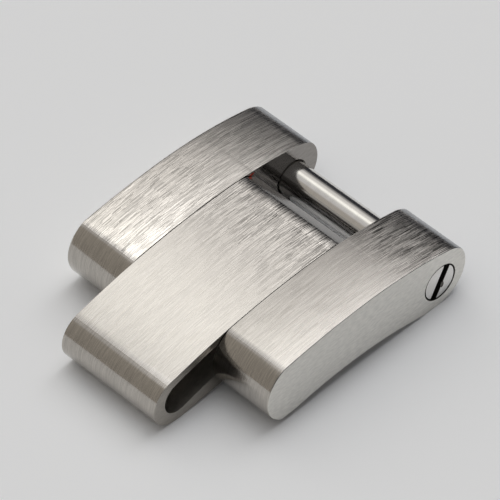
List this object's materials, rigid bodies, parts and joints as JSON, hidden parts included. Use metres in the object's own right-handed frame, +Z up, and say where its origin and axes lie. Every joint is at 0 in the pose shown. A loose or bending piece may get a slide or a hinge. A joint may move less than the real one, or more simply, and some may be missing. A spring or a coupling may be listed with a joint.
{
  "type": "watch bracelet link",
  "caption": "Removable watch bracelet link in steel: solid outer links, a slotted centre link with a tongue, and a slotted screw across the fork.",
  "frame": {"origin": "on the surface that the link lies on, under the middle of its length and width", "axes": "+X along the bracelet from the tongue to the screw, +Y across it away from the screw's head, +Z up through the brushed top"},
  "size_m": [0.0152, 0.012, 0.0036],
  "materials": {
    "outer_link": "brushed along the bracelet on top, satin on the sides",
    "centre_link": "brushed along the bracelet",
    "screw": "polished steel",
    "pin": "ground steel"
  },
  "bodies": {
    "link": {"near_outer_link": "outer_link", "far_outer_link": "outer_link", "centre_link": "centre_link", "front_fixing_pin": "pin", "rear_fixing_pin": "pin"},
    "screw": {"link_screw": "screw"}
  },
  "joints": [
    {"name": "withdraw", "type": "slide", "parent": "link", "child": "screw", "axis": [0, -1, 0], "range_m": [0, 0.0115]}
  ]
}
